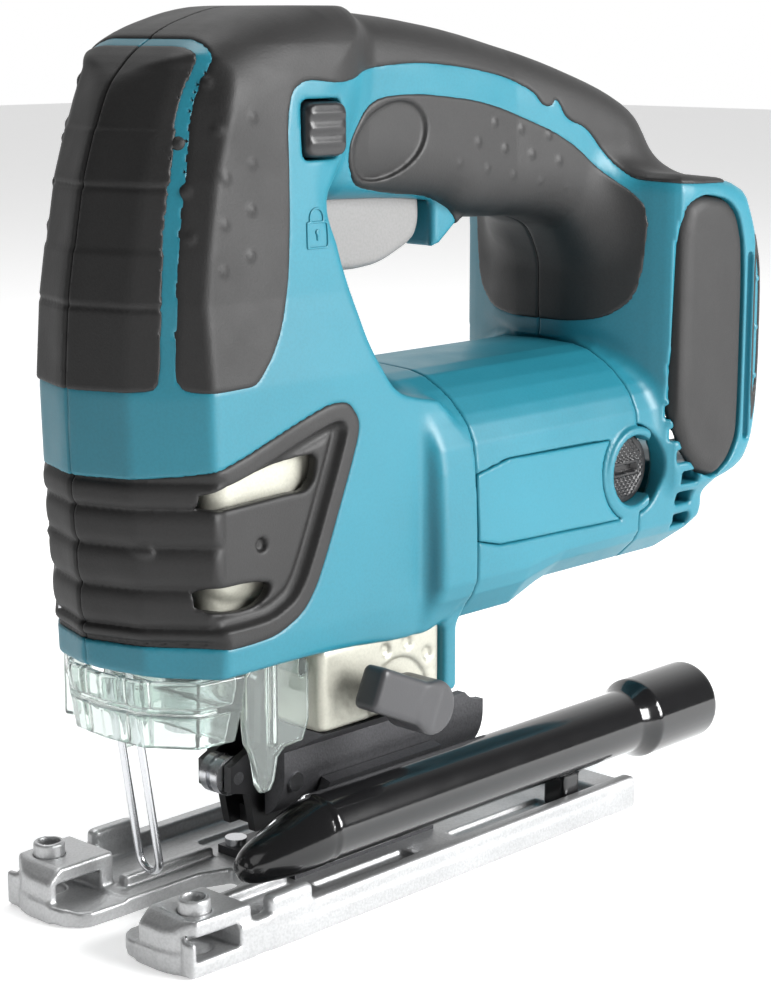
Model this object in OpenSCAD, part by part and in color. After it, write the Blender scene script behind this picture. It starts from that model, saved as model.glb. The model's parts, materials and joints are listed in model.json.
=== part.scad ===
// Cordless D-handle jigsaw. X runs from the blade end (-X) to the battery end (+X), Z is up.
// The origin is where the blade line crosses the sole plane, on the tool's mid-plane.

/* [Base] */
// Length of the base plate
base_len = 152; // [148:1:154]
// Width of the base plate
base_w = 63; // [62:1:66]
// Distance from the blade line to the front of the base
base_nose = 30; // [29:1:31]
// Height of the base's side rails
rail_h = 8; // [7.5:0.1:8.4]

/* [Housing] */
// Half width of the lower head
head_hw = 28; // [28:0.1:28.6]
// Half width of the upper head
neck_hw = 25.5; // [25.4:0.1:26]
// Half width of the handle bar
handle_hw = 17; // [16.5:0.1:18]
// Half width of the battery mount
mount_hw = 36; // [36:0.1:37]
// Thickness of the soft rubber skins
skin = 2; // [1.8:0.1:2.2]
// Thickness of wall and skin together
wall = 4.5; // [4.4:0.1:4.6]

/* [Drive] */
// Height of the motor axis above the sole
motor_z = 88; // [87.8:0.1:88.2]
// Stroke of the blade
stroke = 26; // [24:1:26]
// Gear module
gear_mod = 0.8; // [0.8:0.01:0.8]
// Teeth on the crank gear
gear_teeth = 48; // [48:1:48]
// Teeth on the motor pinion
pinion_teeth = 8; // [8:1:8]
// Radius of the slider rod
rod_r = 4.5; // [4.4:0.1:4.5]

/* [Dust nozzle] */
// Radius of the suction pipe
pipe_r = 8; // [7.5:0.1:8]
// Outside radius of the hose collar
collar_r = 10.3; // [10:0.1:10.5]
// Inside radius of the hose collar
port_r = 8.6; // [8.2:0.1:8.8]

/* [Fits] */
// Radial clearance of parts that turn or slide in each other
run = 0.05; // [0.02:0.01:0.08]
// Gap between neighbouring parts that move apart
gap = 0.3; // [0.3:0.05:0.4]

/* [Hidden] */
$fn = 48;
teal = [0.05, 0.45, 0.53];
rubber = [0.16, 0.16, 0.17];
steel = [0.72, 0.73, 0.75];
eps = 0.01;
tilt_z = 30;        // height of the base's tilt axis
foot_r = 13;        // radius of the round underside of the foot
crank_r = stroke / 2;
gear_pr = gear_mod * gear_teeth / 2;
pinion_pr = gear_mod * pinion_teeth / 2;
gear_z = motor_z + gear_pr + pinion_pr;
yoke_z = gear_z - crank_r;
clamp_z = 42.4;
clamp_top = clamp_z + 12;
bush_r = 6.5;
bush_low = [81.5, 89.5];
bush_top = [132, 142];
shaft_r = 2.5;
bearing_r = 8;
yoke_tube_r = 22;
lever_x = 40;
lever_z = 45.4;
arm_x = 20;
arm_z = 50;
roller_x = 9;
roller_z = 29;
stop_x = 19.5;
stop_z = 27.5;
cap_x = 118;
pipe_y = -25;
pipe_z = 20.5;
boss_x = -22;
boss_y = 24.5;
wire_r = 0.9;
wire_y = 3.3;
wire_top = [-18.8, 49];
wire_len = 49;
wire_low = [-13.3, 15];
trigger_x = 38;
trigger_z = 161;
hinge_x = -17;
hinge_y = 20;
screw_at = [[28, 187], [-14, 172], [84, 183], [118, 166], [124, 136], [38, 106],
    [-23, 72], [138, 74], [141, 147]];

// Outlines seen from the side, as [x, z], counter-clockwise
head_low = [[-28, 61], [16, 61.5], [46, 58.5], [56, 64], [56, 112], [41, 115], [36, 118], [30, 127],
    [25.5, 139], [-32, 139], [-33.3, 122], [-33, 104], [-31, 67]];
head_top = [[-32.2, 130], [29, 130], [25.6, 139], [22.5, 147], [19.8, 158], [25.5, 165], [28.5, 172],
    [34, 182], [36, 198.8], [22, 200], [8, 199.2], [-4, 196.3], [-14, 190.8],
    [-21, 184.3], [-25, 174], [-28, 165], [-31, 150]];
handle = [[18, 157.5], [66, 156], [75, 151.8], [94, 150.5], [105, 150], [113, 147.5], [121, 143], [131, 143],
    [152, 157], [146, 168],
    [138, 176.5], [125, 182], [103, 188.8], [75, 194.5], [50, 198], [18, 199]];
mount = [[120.2, 100], [124, 84], [134, 79.5], [160, 82], [167, 90], [167, 137], [160, 157],
    [118, 157], [118, 118.2], [120.2, 118.2]];
// Lip that guards the rear of the trigger
guard_lip = [[69, 144.9], [71.5, 145.8], [79, 151.6], [79, 157], [69, 158.5]];
// Outlines seen from above, as [x, y]
prow = [[-33.5, 0], [-28.9, -14.1], [-17.4, -28.2], [-14, -45], [200, -45], [200, 45], [-14, 45],
    [-17.4, 28.2], [-28.9, 14.1]];
flare = [[118, 20], [118, -7], [129, -36.5], [129, -60], [200, -60], [200, 20]];
// Motor sections seen along X, as [y, z]
motor_front = [[-24, 58.5], [24, 58.5], [33, 70], [33, 77], [31.5, 103], [23, 113.5], [15, 117.5],
    [-15, 117.5], [-23, 113.5], [-31.5, 103], [-33, 77], [-33, 70]];
motor_rear = [[-22, 64], [22, 64], [32.5, 72], [33, 80], [31.5, 102], [23, 113], [15, 117], [-15, 117],
    [-23, 113], [-31.5, 102], [-33, 80], [-32.5, 72]];
// Where the rubber skins lie, seen from the side
front_zone = [[-40, 122.5], [-21, 122.5], [-21.5, 150], [-22, 168], [-18, 180], [-12, 187], [-16, 193],
    [-40, 205]];
grip_zone = [[-18.2, 123], [-5, 121.5], [0, 130], [3.5, 141], [4.5, 160], [4.5, 179], [8, 184.5],
    [28.8, 184.4], [40, 186.5], [56, 187.3], [72, 186], [86.7, 183.6], [103.8, 177.8], [107, 172.8],
    [115, 171], [126.5, 160], [131, 155.5], [160, 153], [160, 210], [-14, 210], [-8, 192], [-13, 184],
    [-18.2, 172]];
inlay_zone = [[32, 170.7], [36.7, 160.6], [66, 157], [75.2, 152.6], [78, 145], [112, 141], [112, 121.5],
    [117, 121.8], [126, 129], [126.5, 151], [124, 157.5], [108.4, 169], [80.4, 178.3], [54, 181], [40, 180]];
vent_zone = [[-45, 68], [3, 68], [12, 73], [24, 114], [20, 118.5], [10, 117.5], [-18, 108], [-45, 107]];
bumper_zone = [[129, 70], [156, 70], [158, 90], [158, 140], [154, 150], [158, 152.5], [128, 152.5],
    [131, 145], [131, 110], [129, 95]];
upper_vent = [[-16, 97], [11, 104.5], [15, 112], [9, 112.5], [-16, 104]];
lower_vent = [[-16, 72.5], [-6, 72.5], [0, 75], [3, 80.5], [-4, 79.5], [-16, 77]];

// Moves each edge of a counter-clockwise outline inwards by d
function edge_normal(a, b) = let (v = (b - a) / norm(b - a)) [-v[1], v[0]];
function inset(p, d) = [for (i = [0:len(p) - 1])
    let (n = len(p), m1 = edge_normal(p[(i + n - 1) % n], p[i]), m2 = edge_normal(p[i], p[(i + 1) % n]))
    p[i] + d * (m1 + m2) / (1 + m1 * m2)];
// Outline of a spur gear with straight-sided teeth, seen along its axis, turned by a degrees
function gear_outline(teeth, mod, a) = [for (i = [0:teeth - 1], k = [[-0.32, -1.05], [-0.14, 0.6],
    [0.14, 0.6], [0.32, -1.05]]) let (t = a + 360 * (i + k[0]) / teeth, r = mod * (teeth / 2 + k[1]))
    [r * cos(t), r * sin(t)]];

// Extrudes a side outline from y = -a to y = -b
module side_prism(p, a, b) {
    translate([0, -a, 0]) rotate([90, 0, 0]) linear_extrude(b - a) polygon(p);
}
// Extrudes a [y, z] section from x = a to x = b
module length_prism(p, a, b) {
    translate([a, 0, 0]) rotate([90, 0, 90]) linear_extrude(b - a) polygon(p);
}
// Box between two corners
module block(a, b) {
    translate(a) cube(b - a);
}
module rod_x(a, b, y, z, r) {
    translate([a, y, z]) rotate([0, 90, 0]) cylinder(h = b - a, r = r);
}
module rod_y(a, b, x, z, r) {
    translate([x, b, z]) rotate([90, 0, 0]) cylinder(h = b - a, r = r);
}
module rod_z(a, b, x, y, r) {
    translate([x, y, a]) cylinder(h = b - a, r = r);
}
module both_sides() {
    children();
    mirror([0, 1, 0]) children();
}

// Left half of the outer form, with every wall moved inwards by d
module form(d) {
    intersection() {
        union() {
            side_prism(inset(head_low, d), 0, head_hw - d);
            side_prism(inset(head_top, d), 0, neck_hw - d);
        }
        translate([0, 0, 50]) linear_extrude(160) polygon(inset(prow, d));
    }
    side_prism(inset(handle, d), 0, handle_hw - 5 - d);
    side_prism(inset(handle, d + 4), 0, handle_hw - d);
    intersection() {
        side_prism(inset(mount, d), 0, mount_hw - d);
        translate([0, 0, 50]) linear_extrude(160) polygon(inset(flare, d));
    }
    intersection() {
        union() {
            length_prism(inset(motor_front, d), 47 + d, 59);
            length_prism(inset(motor_rear, d), 120.2, 147 - d);
        }
        block([0, -50, 0], [200, 0, 200]);
    }
}
module zones() {
    for (z = [front_zone, grip_zone, inlay_zone, vent_zone, bumper_zone]) side_prism(z, -1, 50);
}
// Space behind the battery rails, open at the rear and the top
module battery_recess() {
    block([152, -31, 86], [162.01, 31, 170]);
    block([162, -27, 86], [170, 27, 170]);
}
module battery_side_groove() {
    block([159, -50, 92], [161.5, -34.5, 136]);
}
module cover_vents() {
    side_prism(upper_vent, 10, 50);
    side_prism(lower_vent, 10, 50);
}
module screw_sockets() {
    for (s = screw_at) {
        rod_y(-50, 50, s[0], s[1], 1.5);
    }
}
module wire_holes() {
    wire_leg(-wire_y, wire_r, wire_len);
}
// Wall, ribs and bosses of the left half shell
module half_shell() {
    difference() {
        union() {
            difference() {
                form(0);
                difference() {
                    zones();
                    form(skin);
                }
                form(wall);
            }
            // flange behind the gear housing
            block([54.2, -24, 43.5], [58.8, 0, 62]);
            side_prism(guard_lip, 0, 10);
            intersection() {
                form(skin);
                union() {
                    for (s = screw_at) rod_y(-40, 0, s[0], s[1], 4);
                    rod_y(-40, -8, trigger_x, trigger_z, 4);
                    // seat of the rear motor bearing
                    block([128.5, -30, 66], [133.5, 0, 112]);
                }
            }
        }
        battery_recess();
        battery_side_groove();
        cover_vents();
        block([-13, -24.2, 50], [53.9, 1, 70]);
        block([26.5, -8, 140], [69, 1, 165]);
        block([11, -40, 168], [24, 1, 180.5]);
        rod_y(-10, 1, trigger_x, trigger_z, 2 + run);
        rod_x(127, 135, 0, motor_z, bearing_r);
        rod_y(-50, -18, cap_x, motor_z, 11 + gap);
        screw_sockets();
        for (i = [0:5]) block([131, -40, 69 + 6.2 * i], [141, -26, 72.6 + 6.2 * i]);
        wire_holes();
        block([146, -14, 98], [153, 1, 128]);
    }
}
module screw_heads() {
    for (s = screw_at) rod_y(11, 50, s[0], s[1], 3);
}
module housing_left() {
    color(teal) half_shell();
}
module housing_right() {
    color(teal) difference() {
        mirror([0, 1, 0]) half_shell();
        screw_heads();
        rod_z(60, 65, hinge_x, hinge_y, 1.2 + run);
    }
}
module pad(zone) {
    difference() {
        intersection() {
            form(0);
            side_prism(zone, -1, 50);
        }
        form(skin);
        battery_recess();
        battery_side_groove();
        cover_vents();
        block([26.5, -8, 140], [69, 1, 165]);
        rod_y(-50, -18, cap_x, motor_z, 11 + gap);
        side_prism(guard_lip, -1, 10);
    }
}
module pad_right(zone) {
    difference() {
        mirror([0, 1, 0]) pad(zone);
        screw_heads();
    }
}
module front_pad_left() {
    color(rubber) pad(front_zone);
}
module front_pad_right() {
    color(rubber) pad_right(front_zone);
}
module grip_left() {
    color(rubber) pad(grip_zone);
}
module grip_right() {
    color(rubber) pad_right(grip_zone);
}
module handle_inlay_left() {
    color([0.3, 0.3, 0.31]) pad(inlay_zone);
}
module handle_inlay_right() {
    color([0.3, 0.3, 0.31]) pad_right(inlay_zone);
}
module vent_cover_left() {
    color(rubber) pad(vent_zone);
}
module vent_cover_right() {
    color(rubber) pad_right(vent_zone);
}
module rear_bumper_left() {
    color(rubber) pad(bumper_zone);
}
module rear_bumper_right() {
    color(rubber) pad_right(bumper_zone);
}

// Tubular housing of the motor, with the two brush openings
plate_zone = [[64, 77], [105, 77], [105, 96], [64, 96]];
module plate_pocket() {
    side_prism(plate_zone, 31.2, 40);
}
module motor_housing() {
    color(teal) difference() {
        union() {
            length_prism(motor_front, 59.3, 80);
            length_prism(motor_rear, 80 - eps, 119.9);
            both_sides() rod_y(-32.4, -21.8, cap_x, motor_z, 11);
        }
        rod_x(50, 130, 0, motor_z, yoke_tube_r);
        rod_y(-50, 50, cap_x, motor_z, 8.6);
        both_sides() plate_pocket();
    }
}
module name_plate() {
    intersection() {
        side_prism(plate_zone, 31.2, 40);
        union() {
            length_prism(motor_front, 59.3, 80);
            length_prism(motor_rear, 80 - eps, 119.9);
        }
    }
}
module name_plate_left() {
    color([0.12, 0.55, 0.62]) name_plate();
}
module name_plate_right() {
    color([0.12, 0.55, 0.62]) mirror([0, 1, 0]) name_plate();
}
module housing_screws() {
    color(steel) for (s = screw_at) {
        rod_y(-10, 11.01, s[0], s[1], 1.5);
        difference() {
            rod_y(11, 13.5, s[0], s[1], 3);
            rod_y(12, 20, s[0], s[1], 1.2, $fn = 6);
        }
    }
}

// Battery terminals
module terminal_block() {
    color([0.12, 0.12, 0.13]) difference() {
        block([146.3, -13.7, 98.3], [158, 13.7, 127.7]);
        for (y = [-9, 0, 9]) block([150, y - 0.5, 101], [160, y + 0.5, 140]);
    }
}
module terminal_contacts() {
    color([0.8, 0.62, 0.3]) for (y = [-9, 0, 9]) block([150, y - 0.5, 101], [157.5, y + 0.5, 127.7]);
}

// Switch group
module trigger() {
    color([0.72, 0.73, 0.74]) difference() {
        union() {
            side_prism([[28.2, 158], [29.6, 150], [32.5, 144], [38, 141.6], [52, 141.2], [64, 144.5], [67, 150],
                [67, 158], [60, 163.5], [28.2, 163.5]], -7.5, 7.5);
            rod_y(-9.6, 9.6, trigger_x, trigger_z, 2);
        }
        block([42, -5.5, 150], [64, 5.5, 162.5]);
    }
}
module switch_body() {
    color([0.1, 0.1, 0.11]) difference() {
        block([44, -9, 168.5], [74, 9, 185]);
        rod_z(160, 176, 54, 0, 2 + run);
    }
}
module switch_plunger() {
    color([0.75, 0.2, 0.15]) rod_z(163.9, 172, 54, 0, 2);
}
module lock_button() {
    color([0.08, 0.08, 0.09]) difference() {
        block([11.4, -27, 168.4], [23.6, 22.2, 180.1]);
        block([14, -22, 160], [21, 18, 177]);
    }
}

// Room in which the cam of the orbit lever turns
module cam_pocket() {
    rod_y(-20.5, -8.5, lever_x, lever_z, 4.4 + gap);
}
// Gear housing of cast aluminium, with its bearing seats
module gear_housing() {
    color([0.8, 0.8, 0.76]) difference() {
        union() {
            block([-14, -23.2, 81.5], [23, 23.2, 134]);
            block([-10, -12, 133], [10, 12, 143]);
            block([15, -20, 56], [23, 20, 82]);
            block([15, -20, 56], [50, 20, 64]);
            block([15, -26, 42.2], [53.9, 26, 57.5]);
            rod_x(18.5, 26, 0, motor_z, bearing_r + 2.5);
            rod_x(18.5, 27, 0, gear_z, 7);
        }
        block([21.6, -30, 122], [30, 30, 140]);
        // space for the gear and the yoke
        block([-11.5, -21, 90], [18.5, 21, 131.5]);
        rod_x(8.5, 19, 0, motor_z, 5);
        rod_x(18.4, 28, 0, motor_z, bearing_r);
        rod_x(16, 25, 0, gear_z, 4);
        for (z = [bush_low, bush_top]) rod_z(z[0] - eps, z[1], 0, 0, bush_r);
        rod_z(80, 145, 0, 0, rod_r + 0.5);
        // room for the cam and the roller holder
        block([18, -22, 45], [50.5, 22, 57]);
        block([18, -17, 56], [47, 17, 61]);
        block([14, -6.5, 40], [28, 6.5, 56]);
        rod_y(-13.5, 13.5, arm_x, arm_z, 2);
        rod_y(-30, -20, lever_x, lever_z, 3 + run);
        cam_pocket();
        // detents of the lever
        for (a = [110, 78, 43]) rod_y(-27, -25, lever_x + 12.9 * cos(a), lever_z + 12.9 * sin(a), 1.6);
        rod_z(30, 46, lever_x, 0, 3);
    }
}
// Foot under the gear housing: round underside for the tilting base, and an open channel at the rear
module gear_foot() {
    color([0.3, 0.3, 0.31]) difference() {
        union() {
            length_prism([[-13, 30], [13, 30], [13, 35], [26, 42.2], [-26, 42.2], [-13, 35]], 16, 53.9);
            rod_x(16, 84, 0, tilt_z, foot_r);
            block([53.9 - eps, -foot_r, tilt_z], [84, foot_r, 36]);
        }
        block([10, -30, 42.2], [53.95, 30, 50]);
        // open channel behind the gear housing
        rod_x(58, 90, 0, tilt_z, foot_r - 2.5);
        block([58, -foot_r + 2.5, tilt_z], [90, foot_r - 2.5, 50]);
        block([53.95, -30, 36], [90, 30, 50]);
        rod_y(-30, 30, 84, 42, 9);
        cam_pocket();
        // slot for the roller holder
        block([10, -6.5, 10], [28, 6.5, 50]);
        rod_y(-20, 20, stop_x, stop_z, 2.2);
        rod_z(10, 50, lever_x, 0, 3);
    }
}
module guide_bushes() {
    color([0.78, 0.62, 0.36]) for (z = [bush_low, bush_top]) difference() {
        rod_z(z[0], z[1], 0, 0, bush_r);
        rod_z(z[0] - 1, z[1] + 1, 0, 0, rod_r + run);
    }
}
module slider_rod() {
    color(steel) difference() {
        union() {
            rod_z(clamp_top + 0.2, yoke_z, 0, 0, rod_r);
            rod_z(yoke_z, 148, 0, 0, rod_r);
            block([-4, -19.5, yoke_z - 6.7], [4, 19.5, yoke_z + 6.7]);
        }
        block([-10, -crank_r - 3.9, yoke_z - 3.7], [10, crank_r + 3.9, yoke_z + 3.7]);
    }
}
module blade_holder() {
    color([0.5, 0.5, 0.52]) difference() {
        rod_z(clamp_z, clamp_top + 0.2, 0, 0, 3.5);
        block([-3.6, -0.9, clamp_z - 1], [3.6, 0.9, clamp_top - 1.5]);
    }
}
module clamp_sleeve() {
    color([0.85, 0.86, 0.87]) difference() {
        union() {
            rod_z(clamp_z + 0.2, clamp_top - 0.2, 0, 0, 6);
            block([-1.5, 4, clamp_z + 5], [1.5, 8, clamp_z + 9]);
        }
        rod_z(clamp_z - 1, clamp_top + 1, 0, 0, 3.5 + run);
    }
}

// Gear train; the rest position is the bottom of the stroke
module crank_gear() {
    color([0.55, 0.55, 0.57]) difference() {
        length_prism([for (p = gear_outline(gear_teeth, gear_mod, -90)) [p[0], p[1] + gear_z]], 10, 16);
        rod_x(9, 20, 0, gear_z, 4 + run);
        rod_x(9, 20, 0, yoke_z, 3);
        for (a = [30:60:330]) rod_x(9, 20, 11.5 * cos(a), gear_z + 11.5 * sin(a), 3.2);
    }
}
module crank_pin() {
    color(steel) rod_x(4.9, 16, 0, yoke_z, 3);
}
module gear_shaft() {
    color(steel) rod_x(8.5, 25, 0, gear_z, 4);
}
module pinion() {
    color(steel) difference() {
        length_prism([for (p = gear_outline(pinion_teeth, gear_mod, 90 + 180 / pinion_teeth)) [p[0], p[1] + motor_z]],
            9.5, 17);
        rod_x(9, 20, 0, motor_z, 1.6);
    }
}

// Armature
module motor_shaft() {
    color(steel) {
        rod_x(9.5, 17, 0, motor_z, 1.6);
        rod_x(17, 135, 0, motor_z, shaft_r);
    }
}
module armature_core() {
    color([0.4, 0.4, 0.42]) difference() {
        rod_x(72, 98, 0, motor_z, 15.2);
        rod_x(70, 100, 0, motor_z, shaft_r);
        for (a = [0:30:330]) translate([0, 0, motor_z]) rotate([a, 0, 0]) block([71, -1.2, 12.5], [99, 1.2, 16]);
    }
}
module armature_windings() {
    color([0.72, 0.38, 0.16]) for (x = [[65, 72], [98, 106]]) difference() {
        rod_x(x[0], x[1], 0, motor_z, 13.5);
        rod_x(x[0] - 1, x[1] + 1, 0, motor_z, shaft_r);
    }
}
module commutator() {
    color([0.75, 0.45, 0.2]) difference() {
        rod_x(111, 125, 0, motor_z, 9);
        rod_x(110, 126, 0, motor_z, shaft_r);
        for (a = [0:15:345]) translate([0, 0, motor_z]) rotate([a, 0, 0]) block([110, -0.25, 8.2], [124, 0.25, 10]);
    }
}
module cooling_fan() {
    color([0.15, 0.15, 0.16]) difference() {
        union() {
            rod_x(50, 52, 0, motor_z, 19.5);
            rod_x(50, 59, 0, motor_z, 6);
            for (a = [0:24:336]) translate([0, 0, motor_z]) rotate([a, 0, 0]) block([51.9, -0.6, 9], [58.5, 0.6, 19.2]);
        }
        rod_x(45, 62, 0, motor_z, shaft_r);
    }
}
module motor_bearings() {
    color([0.6, 0.61, 0.63]) for (x = [18.5, 128.5]) difference() {
        rod_x(x, x + 5, 0, motor_z, bearing_r);
        rod_x(x - 1, x + 6, 0, motor_z, shaft_r + run);
    }
}
module motor_yoke() {
    color([0.5, 0.5, 0.53]) difference() {
        rod_x(62, 106, 0, motor_z, yoke_tube_r);
        rod_x(60, 110, 0, motor_z, 20);
    }
}
module motor_magnets() {
    color([0.22, 0.22, 0.24]) intersection() {
        difference() {
            rod_x(64, 102, 0, motor_z, 20);
            rod_x(60, 110, 0, motor_z, 16.2);
        }
        both_sides() length_prism([[0, motor_z], [-30, motor_z - 26], [-30, motor_z + 26]], 60, 110);
    }
}
module brush_set(ya, yb, hx, hz) {
    both_sides() block([cap_x - hx, -yb, motor_z - hz], [cap_x + hx, -ya, motor_z + hz]);
}
module brush_holders() {
    color([0.78, 0.62, 0.3]) difference() {
        brush_set(11.5, 26, 5, 4);
        brush_set(10, 30, 4, 3);
    }
}
module carbon_brushes() {
    color([0.14, 0.14, 0.15]) brush_set(9.3, 19, 4, 3);
}
module brush_springs() {
    color(steel) both_sides() difference() {
        rod_y(-26, -19, cap_x, motor_z, 2.6);
        rod_y(-27, -18, cap_x, motor_z, 1.8);
    }
}
module brush_caps() {
    color([0.1, 0.1, 0.11]) both_sides() difference() {
        rod_y(-29.5, -26, cap_x, motor_z, 8.6);
        block([cap_x - 4.5, -30, motor_z - 0.7], [cap_x + 4.5, -28.2, motor_z + 0.7]);
    }
}

// Pendulum action
module orbit_lever() {
    color([0.3, 0.3, 0.31]) difference() {
        union() {
            rod_y(-38, -26.3, lever_x, lever_z, 6.5);
            translate([lever_x, 0, lever_z]) rotate([0, -156, 0]) block([0, -38, -5.2], [20.5, -30.6, 5.2]);
        }
        rod_y(-33, -20, lever_x, lever_z, 3);
    }
}
module orbit_cam() {
    color(steel) {
        rod_y(-33, -9, lever_x, lever_z, 3);
        rod_y(-20, -9, lever_x, lever_z + 1.4, 3);
    }
}
module roller_holder() {
    color([0.2, 0.2, 0.21]) difference() {
        union() {
            both_sides() side_prism([[14, 15], [22, 15], [26, 22], [26, 31], [24.5, 50], [22, 54], [18, 54], [15.5, 50],
                [15, 36], [12, 34.5], [6.5, 32], [6.5, 26], [12, 24.5]], 3.2, 5.4);
            block([22.2, -3.3, 30], [24.2, 3.3, 46]);
            block([17, -3.3, 15], [22, 3.3, 19]);
        }
        rod_y(-8, 8, arm_x, arm_z, 2 + run);
        rod_y(-8, 8, roller_x, roller_z, 1.5);
        rod_y(-8, 8, stop_x, stop_z, 3.5);
    }
}
module blade_roller() {
    color([0.7, 0.71, 0.73]) difference() {
        rod_y(-2.9, 2.9, roller_x, roller_z, 4.6);
        rod_y(-3, 3, roller_x, roller_z, 1.5 + run);
        translate([roller_x, 0, roller_z]) rotate([90, 0, 0]) difference() {
            cylinder(h = 1.4, r = 6, center = true);
            cylinder(h = 3, r = 3.9, center = true);
        }
    }
}
module roller_pin() {
    color(steel) rod_y(-5.4, 5.4, roller_x, roller_z, 1.5);
}
module holder_pin() {
    color(steel) rod_y(-13.5, 13.5, arm_x, arm_z, 2);
}
module stop_pin() {
    color(steel) rod_y(-13.4, 13.4, stop_x, stop_z, 2.2);
}

// Guard wire in front of the blade, a U that leans back towards its lower end
wire_lean = atan2(wire_low[0] - wire_top[0], wire_top[1] - wire_low[1]);
module wire_leg(y, r, length) {
    translate([wire_low[0], 0, wire_low[1]]) rotate([0, -wire_lean, 0]) translate([0, y, 0]) cylinder(h = length, r = r);
}
module guard_wire() {
    color(steel) {
        both_sides() wire_leg(-wire_y, wire_r, wire_len);
        translate([wire_low[0], 0, wire_low[1]]) rotate([0, -wire_lean, 0]) intersection() {
            rotate([0, 90, 0]) rotate_extrude() translate([wire_y, 0]) circle(r = wire_r);
            block([-5, -10, -10], [5, 10, 0]);
        }
    }
}
module dust_cover() {
    color([0.85, 0.93, 0.9, 0.5]) {
        both_sides() side_prism([[-4, 41], [-2.5, 32], [3, 32], [5.5, 41], [13.5, 41], [13.5, 63], [-4, 63]], 21.8, 23.8);
        block([11.5, -21.81, 56], [13.5, 21.81, 60]);
    }
}
// Swing-out lever of clear plastic that turns the clamp sleeve
module tool_opener() {
    color([0.85, 0.93, 0.9, 0.5]) {
        translate([0, 0, 45]) linear_extrude(15.6) polygon([[-27, 0], [-25.6, -12], [-17.5, -23.2], [-6, -24.6],
            [-6, -22.8], [-16.7, -21.5], [-23.9, -11.4], [-25.2, 0], [-24.2, 10], [-17, 19], [-15.8, 20.5],
            [-18, 22], [-26, 11]]);
        rod_z(45, 60.6, hinge_x, hinge_y, 2.2);
        rod_z(60.5, 64.5, hinge_x, hinge_y, 1.2);
    }
}

// Base of cast aluminium
module base_side() {
    block([-base_nose, -base_w / 2, 0], [base_len - base_nose, -6, 4]);
    block([-base_nose, -base_w / 2, 0], [base_len - base_nose, -base_w / 2 + 3.5, rail_h]);
    block([-base_nose, -base_w / 2, 0], [-11, -15, 12]);
    block([-6, -base_w / 2, 0], [7, -base_w / 2 + 3.5, 12]);
    block([-11, -14, 0], [16, -11, 7]);
    block([112, -base_w / 2, 0], [base_len - base_nose, -6, 6.5]);
}
module base_plate() {
    color([0.78, 0.79, 0.8]) difference() {
        union() {
            both_sides() base_side();
            block([14, -7, 0], [base_len - base_nose, 7, 4]);
        }
        // windows for the bar of a rip fence
        block([-27.5, -50, 3.4], [-15, 50, 8.4]);
        both_sides() {
            rod_z(-1, 20, boss_x, -boss_y, 3.6);
            translate([-base_nose, -base_w / 2, 0]) rotate([0, 0, 45]) cube([5, 5, 40], center = true);
            translate([-base_nose, -6, 0]) rotate([0, 0, 45]) cube([6, 6, 40], center = true);
            translate([-base_nose, 0, 13.5]) rotate([0, 45, 0]) cube([6, 80, 6], center = true);
        }
        // access to the clamping bolt
        block([30, -8, -1], [52, 8, 5]);
        for (x = [22, 60], y = [-10, 10]) rod_z(-1, 5, x, y, 1.6);
    }
}
module base_inserts() {
    color([0.68, 0.69, 0.7]) both_sides() difference() {
        rod_z(8.6, 15, boss_x, -boss_y, 3.6);
        rod_z(8, 16, boss_x, -boss_y, 2.5);
    }
}
// Bracket that cradles the foot; its slot lets the base tilt about the clamping bolt
module base_bracket() {
    color([0.33, 0.33, 0.35]) difference() {
        union() {
            intersection() {
                rod_x(28, 66, 0, tilt_z, foot_r + 3);
                length_prism([[0, tilt_z], [-38.6, 19.6], [-38.6, 0], [26.8, 0.3]], 10, 80);
            }
            block([19, -13, 4], [66, 13, 6]);
            for (x = [[28, 33.5], [46.5, 66]]) block([x[0], -7, 5], [x[1], 7, 17]);
        }
        rod_x(10, 80, 0, tilt_z, foot_r + gap);
        block([31, -8, 3], [49.5, 8, 12]);
        // slot that lets the base tilt about the clamping bolt
        intersection() {
            block([lever_x - 3.4, -20, 10], [lever_x + 3.4, 20, tilt_z]);
            length_prism([[0, tilt_z], [-34.4, 9.3], [-34.4, -5], [12.1, -12]], 10, 80);
            difference() {
                rod_x(20, 70, 0, tilt_z, foot_r + 4);
                rod_x(20, 70, 0, tilt_z, foot_r - 1);
            }
        }
        for (x = [22, 60], y = [-10, 10]) rod_z(3, 7, x, y, 1.6);
    }
}
module bracket_screws() {
    color(steel) for (x = [22, 60], y = [-10, 10]) {
        rod_z(1, 6.01, x, y, 1.6);
        rod_z(6, 7.8, x, y, 2.6);
    }
}
module base_bolt() {
    color([0.3, 0.3, 0.32]) difference() {
        union() {
            rod_z(13, 44, lever_x, 0, 3);
            rod_z(10.6, 13.6, lever_x, 0, 4.2);
        }
        rod_z(10, 12.6, lever_x, 0, 2.3, $fn = 6);
    }
}

// Suction pipe over the left half of the base
module dust_nozzle() {
    color([0.06, 0.06, 0.07]) difference() {
        union() {
            rod_x(8, 130, pipe_y, pipe_z, pipe_r);
            rod_x(128, 152, pipe_y, pipe_z, collar_r);
            // scoop towards the blade
            side_prism([[-4, 9], [10.8, 9], [10.8, 27], [8, 27], [-4, 17]], 10, 27.5);
            block([98, pipe_y - 2.9, 4], [104, pipe_y + 4, 15]);
        }
        rod_x(9.4, 134.01, pipe_y, pipe_z, pipe_r - 1.6);
        rod_x(134, 153, pipe_y, pipe_z, port_r);
        side_prism([[-2.4, 10.5], [9.8, 10.5], [9.8, 25.4], [8.6, 25.4], [-2.4, 16]], 9, 25.9);
    }
}

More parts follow.
